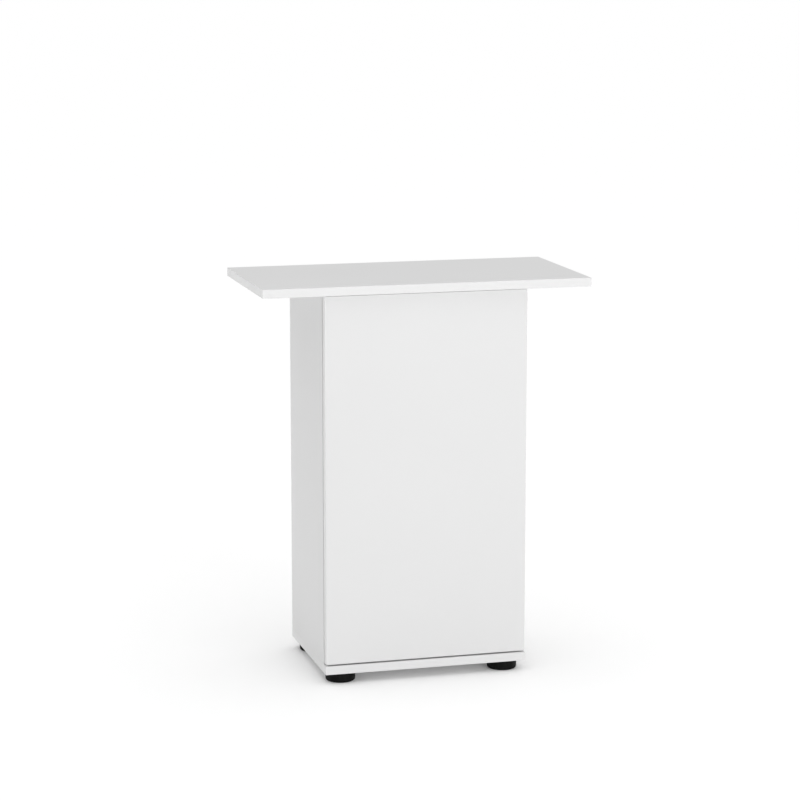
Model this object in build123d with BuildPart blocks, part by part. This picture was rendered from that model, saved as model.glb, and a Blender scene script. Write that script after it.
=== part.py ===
from build123d import *
import math
import os

os.makedirs("parts", exist_ok=True)

# Aquarium stand cabinet, in millimetres.  X runs across the front, -Y faces the user, Z is up
# from the floor.  The origin is on the floor under the middle of the top plate.

# Driving dimensions
TOP_WIDTH = 610
TOP_DEPTH = 310
HEIGHT = 734
BODY_WIDTH = 380
BODY_DEPTH = 275
FOOT_HEIGHT = 19
BOARD = 16  # melamine-faced chipboard
EDGING = 1  # ABS edge strip
EDGING_R = 0.7
DOOR_TO_BODY = 2  # slot behind the closed door
DOOR_SIDE_GAP = 1
DOOR_END_GAP = 3
FIT = 0.05  # radial play of pegs, bolts and cams in their holes
CLEAR = 0.5  # end clearance of blind holes
BREAK_THROUGH = 1  # extra depth of a drilled hole that goes right through
TOUCH = 0.01  # two lengths closer than this are the same

# Levels and faces that follow from them
PLATE_Z = HEIGHT - BOARD
FLOOR_Z = FOOT_HEIGHT + BOARD
SIDE_X = BODY_WIDTH / 2
INNER_X = SIDE_X - BOARD
SIDE_MID_X = SIDE_X - BOARD / 2
FRONT_Y = -BODY_DEPTH / 2
BACK_Y = BODY_DEPTH / 2
DOOR_BACK_Y = FRONT_Y + BOARD
CARCASS_Y = DOOR_BACK_Y + DOOR_TO_BODY
SIDE_DEPTH = BACK_Y - CARCASS_Y
SIDE_MID_Y = (BACK_Y + CARCASS_Y) / 2
SIDE_HEIGHT = PLATE_Z - FLOOR_Z
INNER_WIDTH = 2 * INNER_X
BACK_PANEL_Y = BACK_Y - BOARD
UP = Vector(0, 0, 1)
DOWN = Vector(0, 0, -1)
FORWARD = Vector(0, -1, 0)
BACKWARD = Vector(0, 1, 0)
SIDES = (("left", -1), ("right", 1))


def save(piece, name):
    """Label a finished piece and write its own STEP file."""
    piece.part.label = name
    export_step(piece.part, f"parts/{name}.step")


def facing(origin, direction):
    """A plane at a point, its Z axis along the given direction."""
    return Plane(origin=origin, z_dir=direction)


# ------------------------------------------------------------------ joints between the boards
# Each corner is drawn together by a cam lock let into one board and a bolt screwed into the
# other, with beech dowels beside them to keep the boards from turning.
CAM_R = 7.5
CAM_H = 12.5
BOLT_REACH = 34
BOLT_SHANK_R = 2.5
BOLT_COLLAR_R = 4
BOLT_THREAD_R = 3
BOLT_THREAD = 11
DOWEL_R = 4
DOWEL_IN_FACE = 11.5
DOWEL_IN_EDGE = 18
CAM_HALF_SPREAD = 78.5
DOWEL_HALF_SPREAD = 46.5
CAM_YS = (SIDE_MID_Y - CAM_HALF_SPREAD, SIDE_MID_Y + CAM_HALF_SPREAD)
DOWEL_YS = (SIDE_MID_Y - DOWEL_HALF_SPREAD, SIDE_MID_Y + DOWEL_HALF_SPREAD)
BACK_MID_Y = BACK_Y - BOARD / 2
BACK_CAM_ZS = (FLOOR_Z + 60, PLATE_Z - 100)
BACK_DOWEL_X = 100
RAIL_H = 60
RAIL_MID_Y = CARCASS_Y + BOARD / 2
RAIL_Z = PLATE_Z - RAIL_H
RAIL_CAM_Z = RAIL_Z + 18
RAIL_DOWEL_Z = PLATE_Z - 14

# A bolt is (foot on the face board, direction into the edge board, side its cam is let in from).
# A dowel is (middle on the face board, direction into the edge board).
floor_bolts = []
plate_bolts = []
floor_side_dowels = []
floor_back_dowels = []
plate_dowels = []
back_bolts = []
rail_bolts = []
rail_dowels = []
for _, side in SIDES:
    inward = Vector(-side, 0, 0)
    for y in CAM_YS:
        floor_bolts.append((Vector(side * SIDE_MID_X, y, FLOOR_Z), UP, inward))
        plate_bolts.append((Vector(side * SIDE_MID_X, y, PLATE_Z), DOWN, inward))
    for y in DOWEL_YS:
        floor_side_dowels.append((Vector(side * SIDE_MID_X, y, FLOOR_Z), UP))
        plate_dowels.append((Vector(side * SIDE_MID_X, y, PLATE_Z), DOWN))
    for z in BACK_CAM_ZS:
        back_bolts.append((Vector(side * INNER_X, BACK_MID_Y, z), inward, FORWARD))
    rail_bolts.append((Vector(side * INNER_X, RAIL_MID_Y, RAIL_CAM_Z), inward, BACKWARD))
    rail_dowels.append((Vector(side * INNER_X, RAIL_MID_Y, RAIL_DOWEL_Z), inward))
    floor_back_dowels.append((Vector(side * BACK_DOWEL_X, BACK_MID_Y, FLOOR_Z), UP))
all_bolts = floor_bolts + plate_bolts + back_bolts + rail_bolts
all_dowels = floor_side_dowels + floor_back_dowels + plate_dowels + rail_dowels


def on_side(entries, side):
    """The bolts or dowels that belong to the left (-1) or right (+1) side panel."""
    return [entry for entry in entries if entry[0].X * side > 0]


def face_holes(bolts, dowels):
    """Blind holes in a board's face for bolt threads and the short halves of dowels."""
    with Locations(*[facing(foot, into) for foot, into, _ in bolts]):
        Hole(BOLT_THREAD_R + FIT, depth=BOLT_THREAD + CLEAR)
    with Locations(*[facing(foot, into) for foot, into in dowels]):
        Hole(DOWEL_R + FIT, depth=DOWEL_IN_FACE + CLEAR)


def edge_holes(bolts, dowels):
    """Holes in a drawn-in board: bolt channels from its end, cam pockets, dowel holes."""
    with Locations(*[facing(foot, -into) for foot, into, _ in bolts]):
        Hole(BOLT_COLLAR_R + FIT, depth=BOLT_REACH)
    with Locations(*[cam_plane(*bolt) for bolt in bolts]):
        Hole(CAM_R + FIT, depth=CAM_H + CLEAR)
    if dowels:
        with Locations(*[facing(foot, -into) for foot, into in dowels]):
            Hole(DOWEL_R + FIT, depth=DOWEL_IN_EDGE + CLEAR)


def cam_plane(foot, into, cam_side):
    """Where a cam sits: on the board's face, X axis pointing back to the bolt's foot."""
    centre = foot + into * BOLT_REACH + cam_side * (BOARD / 2)
    return Plane(origin=centre, x_dir=-into, z_dir=cam_side)


def board(plane, width, height, thickness=BOARD):
    """A plain rectangular board extruded from the plane."""
    with BuildSketch(plane) as outline:
        Rectangle(width, height)
    extrude(outline.sketch, amount=thickness)


def edging(plane, length):
    """An edging strip: the plane lies on its outer face, X along it and Z out of it."""
    with BuildSketch(plane) as outline:
        Rectangle(length, BOARD)
    extrude(outline.sketch, amount=-EDGING)

    def is_outer_long_edge(edge):
        height = plane.to_local_coords(edge.center()).Z
        return abs(height) < TOUCH and edge.length > length - TOUCH

    fillet(edges(Select.LAST).filter_by(is_outer_long_edge), EDGING_R)


def edging_round(centre, across, up, width, height):
    """Four strips round a board's rim: two full-width ones with two shorter ones between."""
    for sign in (-1, 1):
        edging(Plane(origin=centre + up * sign * height / 2, x_dir=across, z_dir=up * sign), width)
        short = height - 2 * EDGING - 2 * FIT
        edging(Plane(origin=centre + across * sign * width / 2, x_dir=up, z_dir=across * sign), short)


# ---------------------------------------------------------------- top plate and bottom board
X_DIR = Vector(1, 0, 0)
with BuildPart() as top_plate:
    board(Plane.XY.offset(PLATE_Z), TOP_WIDTH - 2 * EDGING, TOP_DEPTH - 2 * EDGING)
    face_holes(plate_bolts, plate_dowels)
save(top_plate, "top_plate")

with BuildPart() as top_plate_edging:
    edging_round(Vector(0, 0, PLATE_Z + BOARD / 2), X_DIR, BACKWARD, TOP_WIDTH, TOP_DEPTH)
save(top_plate_edging, "top_plate_edging")

# Feet: a threaded socket under the board takes the stem of each round levelling foot.
FOOT_X = SIDE_X - 35
FOOT_Y = BODY_DEPTH / 2 - 33
FOOT_R = 27.5
SOCKET_FLANGE = 1
SOCKET_FLANGE_R = 20
SOCKET_R = 6
SOCKET_DEPTH = 12.5
STEM_R = 3.85
STEM_BORE_R = 3.9
DISC_TOP = FOOT_HEIGHT - SOCKET_FLANGE - CLEAR
DISC_FLOOR_RIM_R = 4
DISC_TOP_RIM_R = 1
DISC_BORE_Z = 4
STEM_Z = DISC_BORE_Z + 0.2
STEM_LENGTH = 26
STEM_CHAMFER = 0.8
FEET = (
    ("front_left", -FOOT_X, -FOOT_Y),
    ("front_right", FOOT_X, -FOOT_Y),
    ("back_left", -FOOT_X, FOOT_Y),
    ("back_right", FOOT_X, FOOT_Y),
)

with BuildPart() as bottom_board:
    board(Plane.XY.offset(FOOT_HEIGHT), BODY_WIDTH - 2 * EDGING, BODY_DEPTH - 2 * EDGING)
    face_holes(floor_bolts, floor_side_dowels + floor_back_dowels)
    with Locations(*[facing((x, y, FOOT_HEIGHT), DOWN) for _, x, y in FEET]):
        Hole(SOCKET_R + FIT, depth=SOCKET_DEPTH + CLEAR)
save(bottom_board, "bottom_board")

with BuildPart() as bottom_board_edging:
    edging_round(Vector(0, 0, FOOT_HEIGHT + BOARD / 2), X_DIR, BACKWARD, BODY_WIDTH, BODY_DEPTH)
save(bottom_board_edging, "bottom_board_edging")

with BuildPart() as foot_sockets:
    with BuildSketch(Plane.XY.offset(FOOT_HEIGHT - SOCKET_FLANGE)):
        with Locations(*[(x, y) for _, x, y in FEET]):
            Circle(SOCKET_FLANGE_R)
    extrude(amount=SOCKET_FLANGE)
    with BuildSketch(Plane.XY.offset(FOOT_HEIGHT)):
        with Locations(*[(x, y) for _, x, y in FEET]):
            Circle(SOCKET_R)
    extrude(amount=SOCKET_DEPTH)
    with Locations(*[facing((x, y, FOOT_HEIGHT - SOCKET_FLANGE), DOWN) for _, x, y in FEET]):
        Hole(STEM_BORE_R, depth=SOCKET_DEPTH)
save(foot_sockets, "foot_sockets")

for name, x, y in FEET:
    with BuildPart() as foot_disc:
        with BuildSketch():
            with Locations((x, y)):
                Circle(FOOT_R)
        extrude(amount=DISC_TOP)
        fillet(edges().filter_by(GeomType.CIRCLE).sort_by(Axis.Z)[0], DISC_FLOOR_RIM_R)
        fillet(edges().filter_by(GeomType.CIRCLE).sort_by(Axis.Z)[-1], DISC_TOP_RIM_R)
        with Locations((x, y, DISC_TOP)):
            Hole(STEM_BORE_R, depth=DISC_TOP - DISC_BORE_Z)
    save(foot_disc, f"foot_disc_{name}")

    with BuildPart() as foot_stem:
        with BuildSketch(Plane.XY.offset(STEM_Z)):
            with Locations((x, y)):
                Circle(STEM_R)
        extrude(amount=STEM_LENGTH)
        chamfer(edges().sort_by(Axis.Z)[-1], STEM_CHAMFER)
    save(foot_stem, f"foot_stem_{name}")

# -------------------------------------------------------------------------------- side panels
# Two lines of shelf-pin holes on the 32 mm system run up both sides.  The hinge plates and the
# push latch are screwed on with small pilot holes.
PIN_R = 2.5
PIN_HOLE_DEPTH = 9
PIN_IN = 8
PIN_LINE_YS = (CARCASS_Y + 37, BACK_PANEL_Y - 37)
PIN_PITCH = 32
PIN_COUNT = 7
PIN_FIRST_Z = 290
SHELF_PIN_Z = PIN_FIRST_Z + 2 * PIN_PITCH
SCREW_R = 1.75
SCREW_HEAD_R = 2.75
SCREW_CONE = 82  # included angle of the countersunk heads, in degrees
PANEL_SCREW = 12
HINGE_ZS = (138, 615)
PLATE_SCREW_V = -37
PLATE_SCREW_Z = 16
LATCH_Z = 600
LATCH_SCREW_YS = (CARCASS_Y + 22, CARCASS_Y + 70)
LATCH_EAR_Z = 14
side_screws = {
    "left": [(y, LATCH_Z + sign * LATCH_EAR_Z) for y, sign in zip(LATCH_SCREW_YS, (-1, 1))],
    "right": [
        (CARCASS_Y - PLATE_SCREW_V, z + sign * PLATE_SCREW_Z) for z in HINGE_ZS for sign in (-1, 1)
    ],
}

for name, side in SIDES:
    inward = Vector(-side, 0, 0)
    with BuildPart() as side_panel:
        middle = Vector(side * INNER_X, SIDE_MID_Y, FLOOR_Z + SIDE_HEIGHT / 2)
        board(Plane(origin=middle, x_dir=BACKWARD, z_dir=-inward), SIDE_DEPTH - 2 * EDGING, SIDE_HEIGHT)
        edge_holes(
            on_side(floor_bolts + plate_bolts, side),
            on_side(floor_side_dowels + plate_dowels, side),
        )
        face_holes(on_side(back_bolts + rail_bolts, side), on_side(rail_dowels, side))
        pin_zs = [PIN_FIRST_Z + PIN_PITCH * step for step in range(PIN_COUNT)]
        with Locations(*[facing((side * INNER_X, y, z), inward) for y in PIN_LINE_YS for z in pin_zs]):
            Hole(PIN_R + FIT, depth=PIN_HOLE_DEPTH)
        with Locations(*[facing((side * INNER_X, y, z), inward) for y, z in side_screws[name]]):
            Hole(SCREW_R + FIT, depth=PANEL_SCREW)
    save(side_panel, f"{name}_side_panel")

    with BuildPart() as side_edging:
        for y, outward in ((CARCASS_Y, FORWARD), (BACK_Y, BACKWARD)):
            strip_middle = Vector(side * SIDE_MID_X, y, FLOOR_Z + SIDE_HEIGHT / 2)
            edging(Plane(origin=strip_middle, x_dir=UP, z_dir=outward), SIDE_HEIGHT)
    save(side_edging, f"{name}_side_edging")

# ------------------------------------------------------------------------ back panel and rail
# The back stops flush with the sides.  Its top is notched for the filter hoses and cables.
NOTCH_WIDTH = 180
NOTCH_DEPTH = 70
NOTCH_R = 10
with BuildPart() as back_panel:
    back_middle = Vector(0, BACK_PANEL_Y, FLOOR_Z + SIDE_HEIGHT / 2)
    board(Plane(origin=back_middle, x_dir=X_DIR, z_dir=BACKWARD), INNER_WIDTH, SIDE_HEIGHT)
    notch_plane = Plane(origin=(0, BACK_PANEL_Y, PLATE_Z), x_dir=X_DIR, z_dir=BACKWARD)
    with BuildSketch(notch_plane):
        RectangleRounded(NOTCH_WIDTH, 2 * NOTCH_DEPTH, NOTCH_R)
    extrude(amount=BOARD, mode=Mode.SUBTRACT)
    edge_holes(back_bolts, floor_back_dowels)
save(back_panel, "back_panel")

with BuildPart() as top_rail:
    rail_middle = Vector(0, CARCASS_Y, PLATE_Z - (RAIL_H - EDGING) / 2)
    board(Plane(origin=rail_middle, x_dir=X_DIR, z_dir=BACKWARD), INNER_WIDTH, RAIL_H - EDGING)
    edge_holes(rail_bolts, rail_dowels)
save(top_rail, "top_rail")

with BuildPart() as top_rail_edging:
    edging(Plane(origin=(0, RAIL_MID_Y, RAIL_Z), x_dir=X_DIR, z_dir=DOWN), INNER_WIDTH)
save(top_rail_edging, "top_rail_edging")

# -------------------------------------------------------------------------------------- shelf
SHELF_GAP = 1.5
SHELF_FRONT_Y = CARCASS_Y + 19.5
SHELF_BACK_Y = BACK_PANEL_Y - 2
SHELF_Z = SHELF_PIN_Z + PIN_R
SHELF_WIDTH = INNER_WIDTH - 2 * SHELF_GAP
SHELF_CORE = SHELF_BACK_Y - SHELF_FRONT_Y - EDGING
with BuildPart() as shelf:
    shelf_middle = Vector(0, SHELF_BACK_Y - SHELF_CORE / 2, SHELF_Z)
    board(Plane(origin=shelf_middle, x_dir=X_DIR, z_dir=UP), SHELF_WIDTH, SHELF_CORE)
save(shelf, "shelf")

with BuildPart() as shelf_edging:
    shelf_nose = Plane(origin=(0, SHELF_FRONT_Y, SHELF_Z + BOARD / 2), x_dir=X_DIR, z_dir=FORWARD)
    edging(shelf_nose, SHELF_WIDTH)
save(shelf_edging, "shelf_edging")

# A spade pin: a peg in the side, a plate against it and a tab that carries the shelf.
SPADE_WIDTH = 10
SPADE_DROP = 9
SPADE_TAB = 10
SPADE_T = 1.5
SPADE_CORNER_R = 1
with BuildPart() as spade_pin:
    with BuildSketch(Plane.XZ):
        with BuildLine():
            Polyline(
                (0, -SPADE_DROP), (0, PIN_R), (SPADE_TAB, PIN_R), (SPADE_TAB, PIN_R - SPADE_T),
                (SPADE_T, PIN_R - SPADE_T), (SPADE_T, -SPADE_DROP), close=True,
            )
        make_face()
    extrude(amount=SPADE_WIDTH / 2, both=True)
    fillet(edges().filter_by(Axis.X).group_by(Axis.Z)[0], SPADE_CORNER_R)
    with BuildSketch(Plane.YZ):
        Circle(PIN_R)
    extrude(amount=-PIN_IN)

with BuildPart() as shelf_supports:
    pin_places = []
    for _, side in SIDES:
        for y in PIN_LINE_YS:
            peg_mouth = (side * INNER_X, y, SHELF_PIN_Z)
            pin_places.append(Plane(origin=peg_mouth, x_dir=(-side, 0, 0), z_dir=UP))
    with Locations(*pin_places):
        add(spade_pin.part)
save(shelf_supports, "shelf_supports")

# --------------------------------------------------------------- cam locks, bolts and dowels
# One of each is made at the origin and set at every place where the boards meet.
CAM_RIM_R = 0.5
CAM_SLOT = 7.8
CAM_SLOT_R = 1
CROSS_WIDTH = 1.6
CROSS_LENGTH = 9.75
CROSS_SINK = 2.5
with BuildPart() as cam_lock:
    with BuildSketch():
        Circle(CAM_R)
    extrude(amount=-CAM_H)
    fillet(edges().group_by(Axis.Z)[0], CAM_RIM_R)
    with BuildSketch(Plane.YZ.offset(-CAM_SLOT / 2)):
        with Locations((0, -BOARD / 2)):
            RectangleRounded(CAM_SLOT, CAM_SLOT, CAM_SLOT_R)
    extrude(amount=2 * CAM_R, mode=Mode.SUBTRACT)
    with BuildSketch():
        Rectangle(CROSS_LENGTH, CROSS_WIDTH)
        Rectangle(CROSS_WIDTH, CROSS_LENGTH)
    extrude(amount=-CROSS_SINK, mode=Mode.SUBTRACT)

with BuildPart() as cam_locks:
    with Locations(*[cam_plane(*bolt) for bolt in all_bolts]):
        add(cam_lock.part)
save(cam_locks, "cam_locks")

BOLT_COLLAR_H = 1.5
BOLT_NECK_R = 1.9
BOLT_HEAD_R = 3.5
BOLT_HEAD_H = 3
BOLT_TAPER = 1
BOLT_HEAD_LOW = BOLT_REACH - BOLT_HEAD_H / 2
BOLT_HEAD_HIGH = BOLT_REACH + BOLT_HEAD_H / 2
with BuildPart() as cam_bolt:
    with BuildSketch(Plane.XZ):
        with BuildLine():
            Polyline(
                (0, -BOLT_THREAD), (BOLT_THREAD_R - BOLT_TAPER, -BOLT_THREAD),
                (BOLT_THREAD_R, BOLT_TAPER - BOLT_THREAD), (BOLT_THREAD_R, 0),
                (BOLT_COLLAR_R, 0), (BOLT_COLLAR_R, BOLT_COLLAR_H),
                (BOLT_SHANK_R, BOLT_COLLAR_H), (BOLT_SHANK_R, BOLT_REACH - CAM_R),
                (BOLT_NECK_R, BOLT_REACH - CAM_R + BOLT_TAPER), (BOLT_NECK_R, BOLT_HEAD_LOW),
                (BOLT_HEAD_R, BOLT_HEAD_LOW), (BOLT_HEAD_R, BOLT_HEAD_HIGH),
                (0, BOLT_HEAD_HIGH), close=True,
            )
        make_face()
    revolve(axis=Axis.Z)

with BuildPart() as cam_bolts:
    with Locations(*[facing(foot, into) for foot, into, _ in all_bolts]):
        add(cam_bolt.part)
save(cam_bolts, "cam_bolts")

DOWEL_CHAMFER = 0.8
with BuildPart() as dowel:
    with BuildSketch(Plane.XY.offset(-DOWEL_IN_FACE)):
        Circle(DOWEL_R)
    extrude(amount=DOWEL_IN_FACE + DOWEL_IN_EDGE)
    chamfer(edges().filter_by(GeomType.CIRCLE), DOWEL_CHAMFER)

with BuildPart() as wooden_dowels:
    with Locations(*[facing(foot, into) for foot, into in all_dowels]):
        add(dowel.part)
save(wooden_dowels, "wooden_dowels")

# --------------------------------------------------------------------------------------- door
# One full-height overlay door with no handle, hung on the right and opened by a push latch.
DOOR_WIDTH = BODY_WIDTH - 2 * DOOR_SIDE_GAP
DOOR_Z = FLOOR_Z + DOOR_END_GAP
DOOR_HEIGHT = SIDE_HEIGHT - 2 * DOOR_END_GAP
CUP_R = 17.5
CUP_DEPTH = 12.1
CUP_END_CLEAR = 0.1
CUP_X = DOOR_WIDTH / 2 - 22.5
CUP_SCREW_X = CUP_X - 9.5
CUP_SCREW_Z = 22.5
DOOR_SCREW = 11
STRIKE_X = -INNER_X + 7.5
STRIKE_SCREW_Z = LATCH_Z - 13
BUFFER_X = -SIDE_MID_X
BUFFER_INSET = 22
BUFFER_ZS = (DOOR_Z + BUFFER_INSET, DOOR_Z + DOOR_HEIGHT - BUFFER_INSET)
door_screws = [(CUP_SCREW_X, z + sign * CUP_SCREW_Z) for z in HINGE_ZS for sign in (-1, 1)]

with BuildPart() as door:
    door_middle = Vector(0, FRONT_Y, DOOR_Z + DOOR_HEIGHT / 2)
    door_plane = Plane(origin=door_middle, x_dir=X_DIR, z_dir=BACKWARD)
    board(door_plane, DOOR_WIDTH - 2 * EDGING, DOOR_HEIGHT - 2 * EDGING)
    with Locations(*[facing((CUP_X, DOOR_BACK_Y, z), BACKWARD) for z in HINGE_ZS]):
        Hole(CUP_R + FIT, depth=CUP_DEPTH + CUP_END_CLEAR)
    with Locations(*[facing((x, DOOR_BACK_Y, z), BACKWARD) for x, z in door_screws]):
        Hole(SCREW_R + FIT, depth=DOOR_SCREW)
    with Locations(facing((STRIKE_X, DOOR_BACK_Y, STRIKE_SCREW_Z), BACKWARD)):
        Hole(SCREW_R + FIT, depth=DOOR_SCREW)
save(door, "door")

with BuildPart() as door_edging:
    rim_middle = Vector(0, FRONT_Y + BOARD / 2, DOOR_Z + DOOR_HEIGHT / 2)
    edging_round(rim_middle, UP, X_DIR, DOOR_HEIGHT, DOOR_WIDTH)
save(door_edging, "door_edging")

# ------------------------------------------------------------------------------------- hinges
# Two concealed cup hinges, drawn as a section in (u, v): u runs in from the right side's inner
# face and v forward from its front edge.  Two links join the arm to the cup.  The outer link
# turns on ARM_OUTER and CUP_OUTER, the inner link on ARM_INNER and CUP_INNER.
ARM_OUTER = (24.0, -30.0)
CUP_OUTER = (-5.765, 4.4)
OUTER_BULGE = 12.5
ARM_INNER = (13.417, -1.065)
CUP_INNER = (-3.02, 8.337)
INNER_BULGE = 8.1
LINK_WIDTH = 2.2
PIVOT_R = 0.9
PIVOT_FIT = 0.05
OPEN_EYE_R = PIVOT_R + 0.95  # the open pivot's play takes up the linkage's small closing error
EYE_R = 1.9
OPEN_EYE_OUTER_R = 2.8
ARM_HALF = 1.9  # half thickness of the arm's nose, and the layers of links either side of it
INNER_LAYER = (2.1, 3.2)
OUTER_LAYER = (3.6, 4.8)
BOSS_Z = 5.0
HINGE_FRAMES = [
    Plane(origin=(INNER_X, CARCASS_Y, z), x_dir=(-1, 0, 0), z_dir=(0, 0, 1)) for z in HINGE_ZS
]


def layers(profile, low, high):
    """A flat piece at the same height above and below the hinge's middle plane."""
    extrude(profile.moved(Location((0, 0, low))), amount=high - low)
    extrude(profile.moved(Location((0, 0, -high))), amount=high - low)


def link_profile(arm_pin, cup_pin, bulge, cup_hole_r, cup_eye_r):
    """A hooked link: an arc bent away from the door's edge, with an eye at either end."""
    start = Vector(*arm_pin)
    end = Vector(*cup_pin)
    along = (end - start).normalized()
    crest = (start + end) / 2 + Vector(along.Y, -along.X) * bulge
    with BuildSketch() as outline:
        hook = ThreePointArc(start, crest, end, mode=Mode.PRIVATE)
        SlotArc(hook, LINK_WIDTH)
        with Locations(start):
            Circle(EYE_R)
        with Locations(end):
            Circle(cup_eye_r)
        with Locations(start):
            Circle(PIVOT_R + PIVOT_FIT, mode=Mode.SUBTRACT)
        with Locations(end):
            Circle(cup_hole_r, mode=Mode.SUBTRACT)
    return outline.sketch


with BuildPart() as outer_link:
    outer_profile = link_profile(ARM_OUTER, CUP_OUTER, OUTER_BULGE, PIVOT_R + PIVOT_FIT, EYE_R)
    layers(outer_profile, *OUTER_LAYER)

with BuildPart() as inner_link:
    inner_profile = link_profile(ARM_INNER, CUP_INNER, INNER_BULGE, OPEN_EYE_R, OPEN_EYE_OUTER_R)
    layers(inner_profile, *INNER_LAYER)

# The arm: a pressed channel that clips over the mounting plate, with a solid nose for the pins.
ARM_TOP = 16
ARM_WALL = 1.2
ARM_WIDTH = 15
CHANNEL_BACK = -64
CHANNEL_FRONT = -38
PLATE_T = 2
CHANNEL_FOOT = PLATE_T + 0.1
ARM_SHOULDER_R = 1
NECK_HALF = 3.3
NECK_END_V = -9
NOSE_GAP = 0.5
NOSE_DEPTH = 6
NOSE_RUN = 12
OUTER_NOSE_R = 2.4
INNER_NOSE_R = 2.2
CUTTER = 100
ARM_SCREW_VS = (-57, -46)
ARM_SCREW_R = 3.0
ARM_SCREW_SHANK_R = 1.6

with BuildPart() as arm:
    with BuildSketch(Plane.XY.offset(-ARM_WIDTH / 2)):
        with BuildLine():
            Polyline(
                (CHANNEL_FOOT, CHANNEL_BACK), (ARM_TOP, CHANNEL_BACK), (ARM_TOP, CHANNEL_FRONT),
                (CHANNEL_FOOT, CHANNEL_FRONT), close=True,
            )
        make_face()
    extrude(amount=ARM_WIDTH)
    fillet(edges().filter_by(Axis.Y).group_by(Axis.X)[-1], ARM_SHOULDER_R)
    with BuildSketch(Plane.XY.offset(ARM_WALL - ARM_WIDTH / 2)):
        with Locations((ARM_TOP / 2 - ARM_WALL, (CHANNEL_BACK + CHANNEL_FRONT) / 2)):
            Rectangle(ARM_TOP, CHANNEL_FRONT - CHANNEL_BACK)
    extrude(amount=ARM_WIDTH - 2 * ARM_WALL, mode=Mode.SUBTRACT)
    with BuildSketch() as nose:
        with BuildLine():
            Polyline(
                (ARM_TOP - NOSE_DEPTH, CHANNEL_FRONT - NOSE_GAP), (ARM_TOP, CHANNEL_FRONT - NOSE_GAP),
                (ARM_OUTER[0] + OUTER_NOSE_R, ARM_OUTER[1]),
                (ARM_INNER[0] + INNER_NOSE_R, ARM_INNER[1]),
                (ARM_INNER[0] - INNER_NOSE_R, ARM_INNER[1]),
                (ARM_TOP - NOSE_DEPTH, CHANNEL_FRONT + NOSE_RUN), close=True,
            )
        make_face()
        with Locations(ARM_OUTER):
            Circle(OUTER_NOSE_R)
        with Locations(ARM_INNER):
            Circle(INNER_NOSE_R)
        with Locations(ARM_OUTER, ARM_INNER):
            Circle(PIVOT_R + PIVOT_FIT, mode=Mode.SUBTRACT)
    extrude(amount=ARM_HALF, both=True)
    with BuildSketch() as neck:
        add(nose.sketch)
        with Locations((0, NECK_END_V + CUTTER / 2)):
            Rectangle(CUTTER, CUTTER, mode=Mode.SUBTRACT)
    extrude(amount=NECK_HALF, both=True)
    with Locations(*[facing((ARM_TOP, v, 0), X_DIR) for v in ARM_SCREW_VS]):
        Hole(ARM_SCREW_SHANK_R + FIT, depth=ARM_WALL + BREAK_THROUGH)

# The mounting plate: a base with two wings screwed to the side and a spine under the channel.
SPINE_HALF = 5.5
SPINE_FRONT_V = CHANNEL_FRONT - 3
SPINE_BACK_V = CHANNEL_BACK + 1
BASE_MARGIN = 1.5
BASE_R = 2
WING_LENGTH = 46
WING_WIDTH = 14
WING_R = 4
ARM_SCREW_HOLE = 9
with BuildPart() as mounting_plate:
    with BuildSketch(Plane.YZ):
        with Locations(((CHANNEL_BACK + CHANNEL_FRONT) / 2, 0)):
            RectangleRounded(CHANNEL_FRONT - CHANNEL_BACK + 2, ARM_WIDTH + 2 * BASE_MARGIN, BASE_R)
        with Locations((PLATE_SCREW_V, 0)):
            RectangleRounded(WING_WIDTH, WING_LENGTH, WING_R)
    extrude(amount=PLATE_T)
    with BuildSketch(Plane.YZ.offset(PLATE_T)):
        with Locations(((SPINE_BACK_V + SPINE_FRONT_V) / 2, 0)):
            Rectangle(SPINE_FRONT_V - SPINE_BACK_V, 2 * SPINE_HALF)
    extrude(amount=ARM_TOP - ARM_WALL - PLATE_T)
    with Locations(*[facing((PLATE_T, PLATE_SCREW_V, sign * PLATE_SCREW_Z), X_DIR) for sign in (-1, 1)]):
        CounterSinkHole(SCREW_R + FIT, SCREW_HEAD_R + FIT, PLATE_T + BREAK_THROUGH, SCREW_CONE)
    with Locations(*[facing((ARM_TOP - ARM_WALL, v, 0), X_DIR) for v in ARM_SCREW_VS]):
        Hole(ARM_SCREW_SHANK_R + FIT, depth=ARM_SCREW_HOLE)

# The cup: a thin pot let into the door, open on the link side of its flange.
CUP_WALL = 0.6
FLANGE_T = 1.2
FLANGE_U = (-3, 22)
FLANGE_Z = 30
FLANGE_R = 5
CUP_U = INNER_X - CUP_X
CUP_TOP_V = DOOR_TO_BODY
PIN_BOSS_U = 0.5
PIN_HOLE_Z = BOSS_Z + 2.5
LONG_PIN_Z = BOSS_Z + 2.3
STUB_Z = (OUTER_LAYER[0] - 0.1, BOSS_Z + 1.6)
CUP_SCREW_U = INNER_X - CUP_SCREW_X
CUP_FACE = Plane(origin=(0, CUP_TOP_V, 0), x_dir=(1, 0, 0), z_dir=(0, -1, 0))

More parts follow.
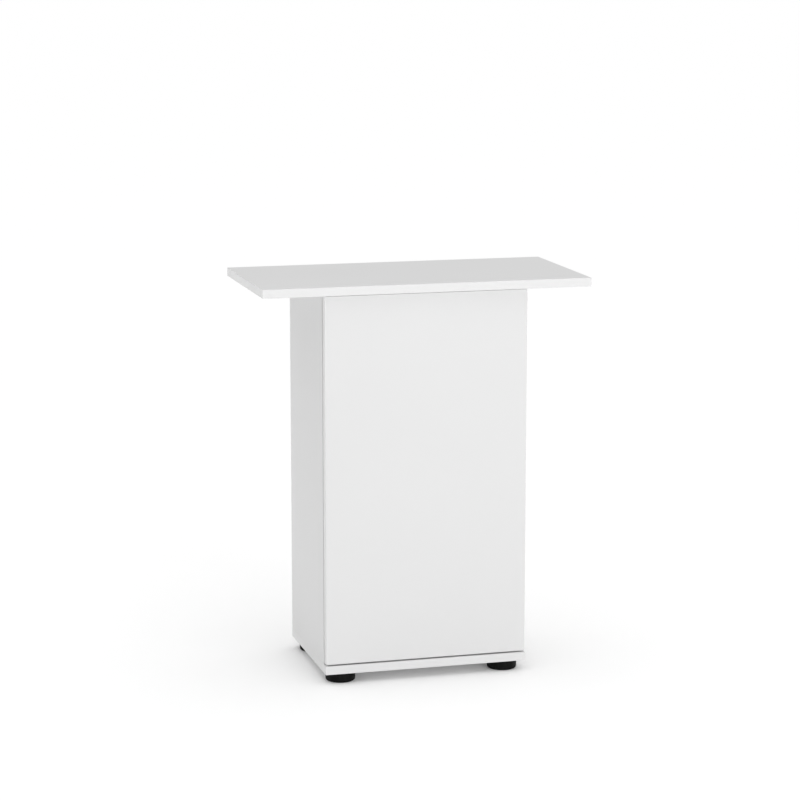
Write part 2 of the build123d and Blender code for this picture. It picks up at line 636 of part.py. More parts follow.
with BuildPart() as cup:
    with BuildSketch(CUP_FACE):
        with Locations((CUP_U, 0)):
            Circle(CUP_R)
    extrude(amount=-CUP_DEPTH)
    with BuildSketch(CUP_FACE):
        with Locations(((FLANGE_U[0] + FLANGE_U[1]) / 2, 0)):
            RectangleRounded(FLANGE_U[1] - FLANGE_U[0], 2 * FLANGE_Z, FLANGE_R)
    extrude(amount=FLANGE_T)
    with BuildSketch(CUP_FACE.offset(FLANGE_T)):
        with Locations((CUP_U, 0)):
            Circle(CUP_R - CUP_WALL)
        for sign in (-1, 1):
            with Locations((PIN_BOSS_U - CUP_R, sign * (BOSS_Z + CUP_R))):
                Rectangle(2 * CUP_R, 2 * CUP_R, mode=Mode.SUBTRACT)
    extrude(amount=-(CUP_DEPTH + FLANGE_T - CUP_WALL), mode=Mode.SUBTRACT)
    with Locations((*CUP_OUTER, 0), (*CUP_INNER, 0)):
        Cylinder(PIVOT_R + PIVOT_FIT, 2 * PIN_HOLE_Z, mode=Mode.SUBTRACT)
    with Locations(*[facing((CUP_SCREW_U, CUP_TOP_V - FLANGE_T, sign * CUP_SCREW_Z), (0, -1, 0))
                     for sign in (-1, 1)]):
        CounterSinkHole(SCREW_R + FIT, SCREW_HEAD_R + FIT, FLANGE_T + BREAK_THROUGH, SCREW_CONE)

with BuildPart() as arm_pins:
    with BuildSketch(Plane.XY.offset(-OUTER_LAYER[1])):
        with Locations(ARM_OUTER):
            Circle(PIVOT_R)
    extrude(amount=2 * OUTER_LAYER[1])
    with BuildSketch(Plane.XY.offset(-INNER_LAYER[1])):
        with Locations(ARM_INNER):
            Circle(PIVOT_R)
    extrude(amount=2 * INNER_LAYER[1])

with BuildPart() as cup_pins:
    with BuildSketch(Plane.XY.offset(-LONG_PIN_Z)):
        with Locations(CUP_INNER):
            Circle(PIVOT_R)
    extrude(amount=2 * LONG_PIN_Z)
    with BuildSketch() as stub:
        with Locations(CUP_OUTER):
            Circle(PIVOT_R)
    layers(stub.sketch, *STUB_Z)

hinge_pieces = (
    (outer_link, "hinge_outer_links"),
    (inner_link, "hinge_inner_links"),
    (arm, "hinge_arms"),
    (mounting_plate, "hinge_mounting_plates"),
    (cup, "hinge_cups"),
    (arm_pins, "hinge_arm_pins"),
    (cup_pins, "hinge_cup_pins"),
)
for one, name in hinge_pieces:
    with BuildPart() as pair:
        with Locations(*HINGE_FRAMES):
            add(one.part)
    save(pair, name)

# --------------------------------------------------------------------------------- push latch
# A magnetic touch latch on the left side.  Its spring-loaded plunger pushes the door off, and
# the magnet on its nose holds the steel strike plate screwed to the door.
LATCH_LENGTH = 80
LATCH_HEIGHT = 18
LATCH_THICK = 15
LATCH_END_R = 3
LATCH_RIM_R = 2
LATCH_BASE = 2.5
LATCH_EAR_R = 5.5
LATCH_FRONT_Y = CARCASS_Y + CLEAR
PLUNGER_R = 4.5
PLUNGER_BORE_R = 4.58
PLUNGER_RIM_R = 0.4
PLUNGER_LENGTH = 58
SPRING_ROOM = 4
STRIKE_T = 1.2
STRIKE_WIDTH = 16
STRIKE_HEIGHT = 34
STRIKE_ABOVE_LATCH = 12
STRIKE_CORNER_R = 3
STRIKE_GAP = 0.2
PLUNGER_Y = DOOR_BACK_Y + STRIKE_T + STRIKE_GAP
MAGNET_R = 3.6
MAGNET_T = 3
MAGNET_CHAMFER = 0.3
LATCH_BASE_PLANE = Plane(origin=(-INNER_X, LATCH_FRONT_Y, LATCH_Z), x_dir=BACKWARD, z_dir=X_DIR)

with BuildPart() as push_latch_housing:
    with BuildSketch(LATCH_BASE_PLANE):
        with Locations((LATCH_LENGTH / 2, 0)):
            RectangleRounded(LATCH_LENGTH, LATCH_HEIGHT, LATCH_END_R)
    extrude(amount=LATCH_THICK)
    fillet(faces().sort_by(Axis.X)[-1].edges(), LATCH_RIM_R)
    with BuildSketch(LATCH_BASE_PLANE):
        for y, z in side_screws["left"]:
            with Locations((y - LATCH_FRONT_Y, z - LATCH_Z)):
                Circle(LATCH_EAR_R)
            with Locations((y - LATCH_FRONT_Y, (z - LATCH_Z) / 2)):
                Rectangle(2 * LATCH_EAR_R, LATCH_EAR_Z)
    extrude(amount=LATCH_BASE)
    with Locations(facing((STRIKE_X, LATCH_FRONT_Y, LATCH_Z), FORWARD)):
        Hole(PLUNGER_BORE_R, depth=PLUNGER_LENGTH + SPRING_ROOM)
    with Locations(*[facing((LATCH_BASE - INNER_X, y, z), X_DIR) for y, z in side_screws["left"]]):
        CounterSinkHole(SCREW_R + FIT, SCREW_HEAD_R + FIT, LATCH_BASE + BREAK_THROUGH, SCREW_CONE)
save(push_latch_housing, "push_latch_housing")

with BuildPart() as push_latch_plunger:
    with BuildSketch(Plane(origin=(STRIKE_X, PLUNGER_Y, LATCH_Z), z_dir=BACKWARD)):
        Circle(PLUNGER_R)
    extrude(amount=PLUNGER_LENGTH)
    fillet(edges().group_by(Axis.Y)[0], PLUNGER_RIM_R)
    with Locations(facing((STRIKE_X, PLUNGER_Y, LATCH_Z), FORWARD)):
        Hole(MAGNET_R + FIT, depth=MAGNET_T)
save(push_latch_plunger, "push_latch_plunger")

with BuildPart() as latch_magnet:
    with BuildSketch(Plane(origin=(STRIKE_X, PLUNGER_Y, LATCH_Z), z_dir=BACKWARD)):
        Circle(MAGNET_R)
    extrude(amount=MAGNET_T)
    chamfer(edges().group_by(Axis.Y)[0], MAGNET_CHAMFER)
save(latch_magnet, "latch_magnet")

with BuildPart() as strike_plate:
    strike_middle = (STRIKE_X, DOOR_BACK_Y, LATCH_Z - STRIKE_HEIGHT / 2 + STRIKE_ABOVE_LATCH)
    with BuildSketch(Plane(origin=strike_middle, x_dir=X_DIR, z_dir=BACKWARD)):
        RectangleRounded(STRIKE_WIDTH, STRIKE_HEIGHT, STRIKE_CORNER_R)
    extrude(amount=STRIKE_T)
    with Locations(facing((STRIKE_X, DOOR_BACK_Y + STRIKE_T, STRIKE_SCREW_Z), BACKWARD)):
        CounterSinkHole(SCREW_R + FIT, SCREW_HEAD_R + FIT, STRIKE_T + BREAK_THROUGH, SCREW_CONE)
save(strike_plate, "strike_plate")

BUFFER_R = 4
BUFFER_T = 1.8
BUFFER_DOME_R = 1.2
with BuildPart() as door_buffers:
    for z in BUFFER_ZS:
        with BuildSketch(Plane(origin=(BUFFER_X, DOOR_BACK_Y, z), z_dir=BACKWARD)):
            Circle(BUFFER_R)
    extrude(amount=BUFFER_T)
    fillet(edges().group_by(Axis.Y)[-1], BUFFER_DOME_R)
save(door_buffers, "door_buffers")

# ------------------------------------------------------------------------------------- screws
CROSS_DEPTH = 0.9
CROSS_ARM = 0.7
PAN_HEAD_H = 1.6
PAN_HEAD_CHAMFER = 0.6


def screw(length, head_r, shank_r, head_profile):
    """A cross-head screw pointing down -Z, with its head's seat given as (r, z) points."""
    with BuildPart() as whole:
        with BuildSketch(Plane.XZ) as section:
            with BuildLine():
                Polyline(*head_profile, (shank_r, shank_r - length), (0, -length), close=True)
            make_face()
        revolve(section.sketch, axis=Axis.Z)
        top = head_profile[0][1]
        with BuildSketch(Plane.XY.offset(top)) as cross:
            Rectangle(head_r, CROSS_ARM)
            Rectangle(CROSS_ARM, head_r)
        extrude(cross.sketch, amount=-CROSS_DEPTH, mode=Mode.SUBTRACT)
    return whole.part


CONE_DEPTH = (SCREW_HEAD_R - SCREW_R) / math.tan(math.radians(SCREW_CONE / 2))
COUNTERSUNK = ((0, 0), (SCREW_HEAD_R, 0), (SCREW_R, -CONE_DEPTH))
PAN_HEAD = (
    (0, PAN_HEAD_H), (ARM_SCREW_R - PAN_HEAD_CHAMFER, PAN_HEAD_H),
    (ARM_SCREW_R, PAN_HEAD_H - PAN_HEAD_CHAMFER), (ARM_SCREW_R, 0), (ARM_SCREW_SHANK_R, 0),
)
TIP_ROOM = 1  # room left under a screw's tip
plate_screw = screw(PLATE_T + PANEL_SCREW - TIP_ROOM, SCREW_HEAD_R, SCREW_R, COUNTERSUNK)
cup_screw = screw(FLANGE_T + DOOR_SCREW - TIP_ROOM, SCREW_HEAD_R, SCREW_R, COUNTERSUNK)
latch_screw = screw(LATCH_BASE + PANEL_SCREW - TIP_ROOM, SCREW_HEAD_R, SCREW_R, COUNTERSUNK)
arm_screw = screw(ARM_WALL + ARM_SCREW_HOLE - TIP_ROOM, ARM_SCREW_R, ARM_SCREW_SHANK_R, PAN_HEAD)
LEFTWARD = Vector(-1, 0, 0)
plate_seats = [facing((INNER_X - PLATE_T, y, z), LEFTWARD) for y, z in side_screws["right"]]
cup_seats = [facing((x, DOOR_BACK_Y + FLANGE_T, z), BACKWARD) for x, z in door_screws]
arm_seats = [
    facing((INNER_X - ARM_TOP, CARCASS_Y - v, z), LEFTWARD) for z in HINGE_ZS for v in ARM_SCREW_VS
]
latch_seats = [facing((LATCH_BASE - INNER_X, y, z), X_DIR) for y, z in side_screws["left"]]
strike_seats = [facing((STRIKE_X, DOOR_BACK_Y + STRIKE_T, STRIKE_SCREW_Z), BACKWARD)]
screw_sets = {
    "mounting_plate_screws": (plate_screw, plate_seats),
    "hinge_cup_screws": (cup_screw, cup_seats),
    "hinge_arm_screws": (arm_screw, arm_seats),
    "push_latch_screws": (latch_screw, latch_seats),
    "strike_plate_screw": (cup_screw, strike_seats),
}
for name, (one, places) in screw_sets.items():
    with BuildPart() as screws:
        with Locations(*places):
            add(one)
    save(screws, name)
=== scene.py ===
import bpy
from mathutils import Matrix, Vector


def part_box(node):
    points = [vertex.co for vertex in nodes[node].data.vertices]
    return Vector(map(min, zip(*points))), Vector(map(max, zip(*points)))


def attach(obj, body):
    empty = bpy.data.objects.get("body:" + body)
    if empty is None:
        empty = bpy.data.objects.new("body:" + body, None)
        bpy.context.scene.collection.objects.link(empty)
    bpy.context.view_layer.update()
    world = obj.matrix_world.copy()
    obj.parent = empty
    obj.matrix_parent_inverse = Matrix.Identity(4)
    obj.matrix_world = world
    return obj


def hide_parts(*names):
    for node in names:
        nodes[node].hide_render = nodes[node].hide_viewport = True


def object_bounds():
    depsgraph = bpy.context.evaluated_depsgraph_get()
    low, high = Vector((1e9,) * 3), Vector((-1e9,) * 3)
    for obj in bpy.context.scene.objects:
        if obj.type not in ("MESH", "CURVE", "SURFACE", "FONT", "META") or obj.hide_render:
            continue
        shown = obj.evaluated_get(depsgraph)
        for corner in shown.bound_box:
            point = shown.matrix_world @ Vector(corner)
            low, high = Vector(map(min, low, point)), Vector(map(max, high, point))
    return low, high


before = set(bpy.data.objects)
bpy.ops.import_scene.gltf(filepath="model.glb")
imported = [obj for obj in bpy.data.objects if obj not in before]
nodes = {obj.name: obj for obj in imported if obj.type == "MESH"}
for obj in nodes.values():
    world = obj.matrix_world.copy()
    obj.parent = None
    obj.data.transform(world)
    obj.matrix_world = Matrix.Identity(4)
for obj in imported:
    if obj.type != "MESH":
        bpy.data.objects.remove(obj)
cad_box = [list(corner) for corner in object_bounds()]

import math

import bpy
from mathutils import Vector

scene = bpy.context.scene
MM = 0.001

# ---- Camera ---------------------------------------------------------------------------------
# A long lens a little above the plate's height, standing off to the left of the front, so that
# the left side shows as a narrow strip beside the door.
CAMERA_LENS = 117.45
CAMERA_SENSOR = 36.0
CAMERA_DISTANCE = 4.843
CAMERA_AZIMUTH = math.radians(15.19)
CAMERA_ELEVATION = math.radians(10.47)
LOOK_AT = Vector((-0.013, 0.0, 0.496))
view_line = Vector((
    math.sin(CAMERA_AZIMUTH) * math.cos(CAMERA_ELEVATION),
    math.cos(CAMERA_AZIMUTH) * math.cos(CAMERA_ELEVATION),
    -math.sin(CAMERA_ELEVATION),
))
camera_data = bpy.data.cameras.new("studio_camera")
camera_data.lens = CAMERA_LENS
camera_data.sensor_width = CAMERA_SENSOR
camera = bpy.data.objects.new("studio_camera", camera_data)
camera.location = LOOK_AT - view_line * CAMERA_DISTANCE
camera.rotation_euler = (math.pi / 2 - CAMERA_ELEVATION, 0.0, -CAMERA_AZIMUTH)
scene.collection.objects.link(camera)
scene.camera = camera

# ---- Studio ---------------------------------------------------------------------------------
# A matt white acrylic floor, lit a little from below, under a large overhead diffuser that is
# brightest straight up.  One wide, low softbox stands far off in front, a little to the right.
FLOOR_HALF = 60.0
FLOOR_GAP_MM = 0.1
FLOOR_WHITE = "#f9f9f9"
FLOOR_GLOW = 0.065
OVERHEAD_STRENGTH = 1.48
LAMP_WHITE = "#ffffff"
SOFTBOX_SIZE = (3.2, 1.6)
SOFTBOX_WATTS = 60
SOFTBOX_PLACE = Vector((1.2, -5.0, 1.1))
SOFTBOX_AIM = Vector((0.0, 0.0, 0.45))


def linear(hex_colour):
    """An sRGB hex colour as the linear RGBA that Blender's sockets take."""
    channels = [int(hex_colour[i:i + 2], 16) / 255 for i in (1, 3, 5)]
    return [c / 12.92 if c <= 0.04045 else ((c + 0.055) / 1.055) ** 2.4 for c in channels] + [1.0]


def add_node(tree, kind, inputs=(), **settings):
    """Add one node with its settings, and fill its inputs with values or with linked sockets."""
    node = tree.nodes.new(kind)
    for key, value in settings.items():
        setattr(node, key, value)
    for key, value in dict(inputs).items():
        if isinstance(value, bpy.types.NodeSocket):
            tree.links.new(value, node.inputs[key])
        else:
            node.inputs[key].default_value = value
    return node


def new_material(name):
    """An empty node material and its node tree."""
    material = bpy.data.materials.new(name)
    material.use_nodes = True
    material.node_tree.nodes.clear()
    return material, material.node_tree


matt_acrylic, tree = new_material("matt_white_acrylic_floor")
diffuse = add_node(tree, "ShaderNodeBsdfDiffuse", {"Color": linear(FLOOR_WHITE)})
glow = add_node(tree, "ShaderNodeEmission", {"Color": linear(LAMP_WHITE), "Strength": FLOOR_GLOW})
both = add_node(tree, "ShaderNodeAddShader", {0: diffuse.outputs[0], 1: glow.outputs[0]})
add_node(tree, "ShaderNodeOutputMaterial", {"Surface": both.outputs[0]})

floor_mesh = bpy.data.meshes.new("studio_floor")
floor_z = cad_box[0][2] - FLOOR_GAP_MM * MM
floor_signs = ((-1, -1), (1, -1), (1, 1), (-1, 1))
floor_corners = [(x * FLOOR_HALF, y * FLOOR_HALF, floor_z) for x, y in floor_signs]
floor_mesh.from_pydata(floor_corners, [], [(0, 1, 2, 3)])
floor_mesh.materials.append(matt_acrylic)
floor = bpy.data.objects.new("studio_floor", floor_mesh)
scene.collection.objects.link(floor)

sky = bpy.data.worlds.new("overhead_diffuser")
sky.use_nodes = True
sky_tree = sky.node_tree
direction = add_node(sky_tree, "ShaderNodeTexCoord")
upward = add_node(sky_tree, "ShaderNodeSeparateXYZ", {0: direction.outputs["Generated"]})
overhead = add_node(sky_tree, "ShaderNodeMapRange", {
    "Value": upward.outputs["Z"], "To Max": OVERHEAD_STRENGTH})
backdrop = sky_tree.nodes["Background"]
backdrop.inputs["Color"].default_value = linear(LAMP_WHITE)
sky_tree.links.new(overhead.outputs["Result"], backdrop.inputs["Strength"])
scene.world = sky
scene.view_settings.view_transform = "Standard"

softbox_light = bpy.data.lights.new("front_softbox", "AREA")
softbox_light.shape = "RECTANGLE"
softbox_light.size, softbox_light.size_y = SOFTBOX_SIZE
softbox_light.energy = SOFTBOX_WATTS
softbox = bpy.data.objects.new("front_softbox", softbox_light)
softbox.location = SOFTBOX_PLACE
softbox.rotation_euler = (SOFTBOX_AIM - SOFTBOX_PLACE).to_track_quat("-Z", "Y").to_euler()
softbox.visible_camera = False
scene.collection.objects.link(softbox)

# ---- Boards ---------------------------------------------------------------------------------
# 16 mm chipboard pressed from wood flakes and faced on both sides with white melamine paper.
# The faces are satin with a fine pearl grain; drilled and notched edges show the raw flakes.
# The pearl grain is really about 0.4 mm, and is drawn coarser so that it shows.
MELAMINE_WHITES = ("#e3e3e3", "#e0e0e0")
MELAMINE_IOR = 1.55
MELAMINE_ROUGHNESS = (0.34, 0.42)
PEARL_GRAIN_MM = 0.9
CLOUD_MM = 260
FLAKE_BROWNS = ("#c7a97f", "#977550")
FLAKE_MM = 2.2
BOARD_FACES = {
    "top_plate": "Z",
    "bottom_board": "Z",
    "shelf": "Z",
    "left_side_panel": "X",
    "right_side_panel": "X",
    "back_panel": "Y",
    "top_rail": "Y",
    "door": "Y",
}


def melamine_board(name, face_axis):
    """White melamine on faces square to the board's thickness, and raw chipboard elsewhere."""
    material, tree = new_material(name)
    place = add_node(tree, "ShaderNodeTexCoord")
    clouds = add_node(tree, "ShaderNodeTexNoise", {
        "Vector": place.outputs["Object"], "Scale": 1 / (CLOUD_MM * MM), "Detail": 2.0})
    white = add_node(tree, "ShaderNodeMix", {
        0: clouds.outputs["Fac"], 6: linear(MELAMINE_WHITES[0]),
        7: linear(MELAMINE_WHITES[1])}, data_type="RGBA")
    satin = add_node(tree, "ShaderNodeMapRange", {
        "Value": clouds.outputs["Fac"], "To Min": MELAMINE_ROUGHNESS[0],
        "To Max": MELAMINE_ROUGHNESS[1]})
    pearl = add_node(tree, "ShaderNodeTexNoise", {
        "Vector": place.outputs["Object"], "Scale": 1 / (PEARL_GRAIN_MM * MM), "Detail": 1.0})
    pearl_bump = add_node(tree, "ShaderNodeBump", {
        "Strength": 0.12, "Distance": 0.02 * MM, "Height": pearl.outputs["Fac"]})
    face = add_node(tree, "ShaderNodeBsdfPrincipled", {
        "Base Color": white.outputs[2], "Roughness": satin.outputs["Result"],
        "IOR": MELAMINE_IOR, "Normal": pearl_bump.outputs["Normal"]})
    flakes = add_node(tree, "ShaderNodeTexVoronoi", {
        "Vector": place.outputs["Object"], "Scale": 1 / (FLAKE_MM * MM)})
    flake_tone = add_node(tree, "ShaderNodeSeparateColor", {"Color": flakes.outputs["Color"]})
    wood = add_node(tree, "ShaderNodeMix", {
        0: flake_tone.outputs["Red"], 6: linear(FLAKE_BROWNS[0]),
        7: linear(FLAKE_BROWNS[1])}, data_type="RGBA")
    flake_bump = add_node(tree, "ShaderNodeBump", {
        "Strength": 0.6, "Distance": 0.3 * MM, "Height": flakes.outputs["Distance"]})
    core = add_node(tree, "ShaderNodeBsdfPrincipled", {
        "Base Color": wood.outputs[2], "Roughness": 0.9, "IOR": 1.5,
        "Normal": flake_bump.outputs["Normal"]})
    across = add_node(tree, "ShaderNodeSeparateXYZ", {0: place.outputs["Normal"]})
    steep = add_node(tree, "ShaderNodeMath", {0: across.outputs[face_axis]}, operation="ABSOLUTE")
    is_face = add_node(tree, "ShaderNodeMath", {
        0: steep.outputs[0], 1: 0.5}, operation="GREATER_THAN")
    surface = add_node(tree, "ShaderNodeMixShader", {
        0: is_face.outputs[0], 1: core.outputs[0], 2: face.outputs[0]})
    add_node(tree, "ShaderNodeOutputMaterial", {"Surface": surface.outputs[0]})
    return material


def dress(node_name, material):
    """Give a CAD node one material in place of its plain one."""
    mesh = nodes[node_name].data
    mesh.materials.clear()
    mesh.materials.append(material)


board_materials = {
    axis: melamine_board(f"melamine_faced_chipboard_{axis.lower()}", axis) for axis in "XYZ"}
for board, face_axis in BOARD_FACES.items():
    dress(board, board_materials[face_axis])

# ---- Edging ---------------------------------------------------------------------------------
# Extruded white ABS strip, 1 mm thick, glued round every board and trimmed to a small radius.
# It is a touch smoother and brighter than the melamine, with faint waves left by the scraper.
EDGING_WHITE = "#e4e4e4"
SCRAPER_WAVE_MM = 7.0

abs_edging, tree = new_material("extruded_white_abs")
place = add_node(tree, "ShaderNodeTexCoord")
waves = add_node(tree, "ShaderNodeTexNoise", {
    "Vector": place.outputs["Object"], "Scale": 1 / (SCRAPER_WAVE_MM * MM), "Detail": 2.0})
wave_bump = add_node(tree, "ShaderNodeBump", {
    "Strength": 0.1, "Distance": 0.05 * MM, "Height": waves.outputs["Fac"]})
wave_sheen = add_node(tree, "ShaderNodeMapRange", {
    "Value": waves.outputs["Fac"], "To Min": 0.26, "To Max": 0.36})
strip = add_node(tree, "ShaderNodeBsdfPrincipled", {
    "Base Color": linear(EDGING_WHITE), "Roughness": wave_sheen.outputs["Result"], "IOR": 1.54,
    "Normal": wave_bump.outputs["Normal"]})
add_node(tree, "ShaderNodeOutputMaterial", {"Surface": strip.outputs[0]})
for name in nodes:
    if name.endswith("_edging"):
        dress(name, abs_edging)

# ---- Levelling feet -------------------------------------------------------------------------
# Round discs and their flanged sockets, injection moulded in jet-black polypropylene.  Its fine
# spark-eroded skin soaks up light.  Each disc carries an M8 stem that screws up into its socket.
# The skin's grain is really about 0.1 mm, and is drawn coarser so that it shows.
JET_BLACK = "#040404"
EROSION_MM = 0.5

black_pp, tree = new_material("moulded_black_polypropylene")
place = add_node(tree, "ShaderNodeTexCoord")
erosion = add_node(tree, "ShaderNodeTexNoise", {
    "Vector": place.outputs["Object"], "Scale": 1 / (EROSION_MM * MM), "Detail": 3.0})
erosion_bump = add_node(tree, "ShaderNodeBump", {
    "Strength": 0.3, "Distance": 0.05 * MM, "Height": erosion.outputs["Fac"]})
erosion_sheen = add_node(tree, "ShaderNodeMapRange", {
    "Value": erosion.outputs["Fac"], "To Min": 0.48, "To Max": 0.64})
black_skin = add_node(tree, "ShaderNodeBsdfPrincipled", {
    "Base Color": linear(JET_BLACK), "Roughness": erosion_sheen.outputs["Result"], "IOR": 1.49,
    "Specular IOR Level": 0.15, "Normal": erosion_bump.outputs["Normal"]})
add_node(tree, "ShaderNodeOutputMaterial", {"Surface": black_skin.outputs[0]})
FEET = ("front_left", "front_right", "back_left", "back_right")
for foot in FEET:
    dress(f"foot_disc_{foot}", black_pp)
dress("foot_sockets", black_pp)

DULL_SPREAD = (0.06, 0.08)


def grained_metal(name, colour, roughness, grain_mm, grain_depth_mm):
    """A metal with a fine grain in its shine and its surface, left by plating or casting."""
    material, tree = new_material(name)
    place = add_node(tree, "ShaderNodeTexCoord")
    grain = add_node(tree, "ShaderNodeTexNoise", {
        "Vector": place.outputs["Object"], "Scale": 1 / (grain_mm * MM), "Detail": 3.0})
    shine = add_node(tree, "ShaderNodeMapRange", {
        "Value": grain.outputs["Fac"], "To Min": roughness - DULL_SPREAD[0],
        "To Max": roughness + DULL_SPREAD[1]})
    grain_bump = add_node(tree, "ShaderNodeBump", {
        "Strength": 0.4, "Distance": grain_depth_mm * MM, "Height": grain.outputs["Fac"]})
    metal = add_node(tree, "ShaderNodeBsdfPrincipled", {
        "Base Color": linear(colour), "Metallic": 1.0, "Roughness": shine.outputs["Result"],
        "Normal": grain_bump.outputs["Normal"]})
    add_node(tree, "ShaderNodeOutputMaterial", {"Surface": metal.outputs[0]})
    return material


# Bright zinc plating on turned and rolled steel: cool and pale, with a soft shine.
zinc_plated_steel = grained_metal("zinc_plated_steel", "#c2c6ca", 0.30, 1.2, 0.02)

THREAD_PITCH_MM = 1.25
THREAD_DEPTH_MM = 0.68
THREAD_STEPS = 48
ROWS_PER_TURN = 10
FLANK_SLOPE = 1.25
ROOT_FLAT = 0.1
LEAD_IN_MM = 1.0


def threaded_stem(low, high):
    """A right-hand M8 thread as one closed mesh that fills the box from low to high."""
    axis_x, axis_y = (low.x + high.x) / 2, (low.y + high.y) / 2
    crest = (high.x - low.x) / 2
    pitch = THREAD_PITCH_MM * MM
    length = high.z - low.z
    rows = round(length / pitch * ROWS_PER_TURN)
    points = []
    for row in range(rows + 1):
        rise = length * row / rows
        lead_in = min(1.0, rise / (LEAD_IN_MM * MM), (length - rise) / (LEAD_IN_MM * MM))
        for step in range(THREAD_STEPS):
            phase = (rise / pitch - step / THREAD_STEPS) % 1.0
            flank = FLANK_SLOPE * (1 - abs(2 * phase - 1)) - ROOT_FLAT
            height = min(1.0, max(0.0, flank)) * lead_in
            radius = crest - THREAD_DEPTH_MM * MM * (1 - height)
            turn = 2 * math.pi * step / THREAD_STEPS
            x = axis_x + radius * math.cos(turn)
            y = axis_y + radius * math.sin(turn)
            points.append((x, y, low.z + rise))
    faces = []
    for row in range(rows):
        for step in range(THREAD_STEPS):
            here = row * THREAD_STEPS + step
            beside = row * THREAD_STEPS + (step + 1) % THREAD_STEPS
            faces.append((here, beside, beside + THREAD_STEPS, here + THREAD_STEPS))
    last = rows * THREAD_STEPS
    faces.append(tuple(reversed(range(THREAD_STEPS))))
    faces.append(tuple(range(last, last + THREAD_STEPS)))
    mesh = bpy.data.meshes.new("threaded_stem")
    mesh.from_pydata(points, [], faces)
    mesh.validate()
    mesh.materials.append(zinc_plated_steel)
    return mesh


for foot in FEET:
    stem_mesh = threaded_stem(*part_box(f"foot_stem_{foot}"))
    stem = bpy.data.objects.new(f"threaded_stem_{foot}", stem_mesh)
    scene.collection.objects.link(stem)
    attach(stem, f"foot_disc_{foot}")
    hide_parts(f"foot_stem_{foot}")

# ---- Knock-down joints ----------------------------------------------------------------------
# Round zinc die-cast cams in the boards' faces pull on steel bolts, and beech dowels keep the
# boards in line.  The cams are dull and faintly pitted, as cast.
zinc_die_casting = grained_metal("zinc_die_casting", "#a3a5a8", 0.46, 0.8, 0.05)
dress("cam_locks", zinc_die_casting)
for name in ("cam_bolts", "hinge_arm_screws", "hinge_cup_screws", "mounting_plate_screws",
             "push_latch_screws", "strike_plate_screw"):
    dress(name, zinc_plated_steel)

# Beech turned to a plain dowel: short dark rays along a pink-brown, fine-pored wood.
BEECH_BROWNS = ("#d9b88c", "#b98e60")
RAY_MM = 1.6

turned_beech, tree = new_material("turned_beech")
place = add_node(tree, "ShaderNodeTexCoord")
rays = add_node(tree, "ShaderNodeTexNoise", {
    "Vector": place.outputs["Object"], "Scale": 1 / (RAY_MM * MM), "Detail": 4.0,
    "Distortion": 0.6})
beech_tone = add_node(tree, "ShaderNodeMix", {
    0: rays.outputs["Fac"], 6: linear(BEECH_BROWNS[0]), 7: linear(BEECH_BROWNS[1])},
    data_type="RGBA")
ray_bump = add_node(tree, "ShaderNodeBump", {
    "Strength": 0.4, "Distance": 0.05 * MM, "Height": rays.outputs["Fac"]})
dowel_wood = add_node(tree, "ShaderNodeBsdfPrincipled", {
    "Base Color": beech_tone.outputs[2], "Roughness": 0.65, "IOR": 1.5,
    "Normal": ray_bump.outputs["Normal"]})
add_node(tree, "ShaderNodeOutputMaterial", {"Surface": dowel_wood.outputs[0]})
dress("wooden_dowels", turned_beech)

# ---- Hinges and shelf supports --------------------------------------------------------------
# Cups, arms, links and mounting plates pressed from steel strip and nickel plated: a warmer
# and brighter shine than the screws, with the strip's faint grain.  The spade pins match.
nickel_plated_strip = grained_metal("nickel_plated_steel_strip", "#c9c5bd", 0.26, 1.6, 0.015)
for name in ("hinge_cups", "hinge_arms", "hinge_inner_links", "hinge_outer_links",
             "hinge_mounting_plates", "hinge_arm_pins", "hinge_cup_pins", "shelf_supports",
             "strike_plate"):
    dress(name, nickel_plated_strip)

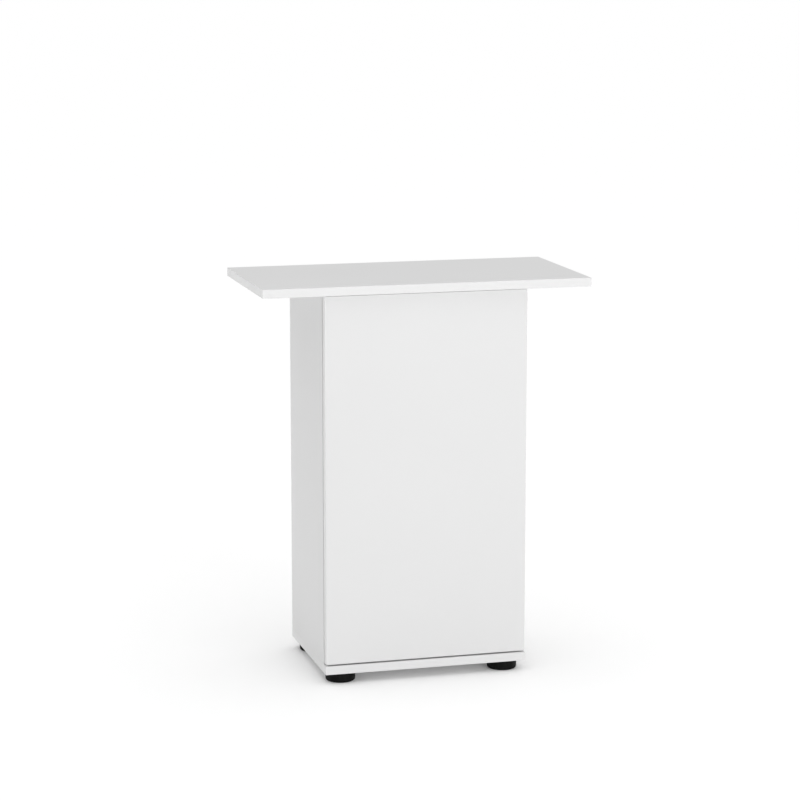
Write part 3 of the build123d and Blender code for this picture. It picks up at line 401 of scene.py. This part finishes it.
# ---- Push latch -----------------------------------------------------------------------------
# A screwed-on housing and its sliding plunger, moulded in light grey acetal, with a polished
# nickel-plated magnet at the tip.  The door's steel strike plate meets the magnet.
# The mould's grain is really about 0.2 mm, and is drawn coarser so that it shows.
LATCH_GREY = "#b9babb"
MOULD_GRAIN_MM = 0.7

grey_acetal, tree = new_material("moulded_grey_acetal")
place = add_node(tree, "ShaderNodeTexCoord")
mould_grain = add_node(tree, "ShaderNodeTexNoise", {
    "Vector": place.outputs["Object"], "Scale": 1 / (MOULD_GRAIN_MM * MM), "Detail": 2.0})
mould_bump = add_node(tree, "ShaderNodeBump", {
    "Strength": 0.2, "Distance": 0.04 * MM, "Height": mould_grain.outputs["Fac"]})
mould_sheen = add_node(tree, "ShaderNodeMapRange", {
    "Value": mould_grain.outputs["Fac"], "To Min": 0.34, "To Max": 0.46})
grey_skin = add_node(tree, "ShaderNodeBsdfPrincipled", {
    "Base Color": linear(LATCH_GREY), "Roughness": mould_sheen.outputs["Result"], "IOR": 1.48,
    "Normal": mould_bump.outputs["Normal"]})
add_node(tree, "ShaderNodeOutputMaterial", {"Surface": grey_skin.outputs[0]})
dress("push_latch_housing", grey_acetal)
dress("push_latch_plunger", grey_acetal)
dress("latch_magnet", grained_metal("nickel_plated_magnet", "#cfccc6", 0.14, 2.0, 0.005))

# ---- Door buffers ---------------------------------------------------------------------------
# Small clear domes of soft polyurethane, stuck to the back of the door.  Light passes through
# them with a slight milkiness, and they pick up a soft highlight.
BUFFER_CLEAR = "#eef0ef"
HAZE_MM = 2.0

clear_polyurethane, tree = new_material("clear_polyurethane")
place = add_node(tree, "ShaderNodeTexCoord")
haze = add_node(tree, "ShaderNodeTexNoise", {
    "Vector": place.outputs["Object"], "Scale": 1 / (HAZE_MM * MM), "Detail": 2.0})
haze_roughness = add_node(tree, "ShaderNodeMapRange", {
    "Value": haze.outputs["Fac"], "To Min": 0.12, "To Max": 0.26})
dome = add_node(tree, "ShaderNodeBsdfPrincipled", {
    "Base Color": linear(BUFFER_CLEAR), "Roughness": haze_roughness.outputs["Result"], "IOR": 1.5,
    "Transmission Weight": 0.8})
add_node(tree, "ShaderNodeOutputMaterial", {"Surface": dome.outputs[0]})
dress("door_buffers", clear_polyurethane)
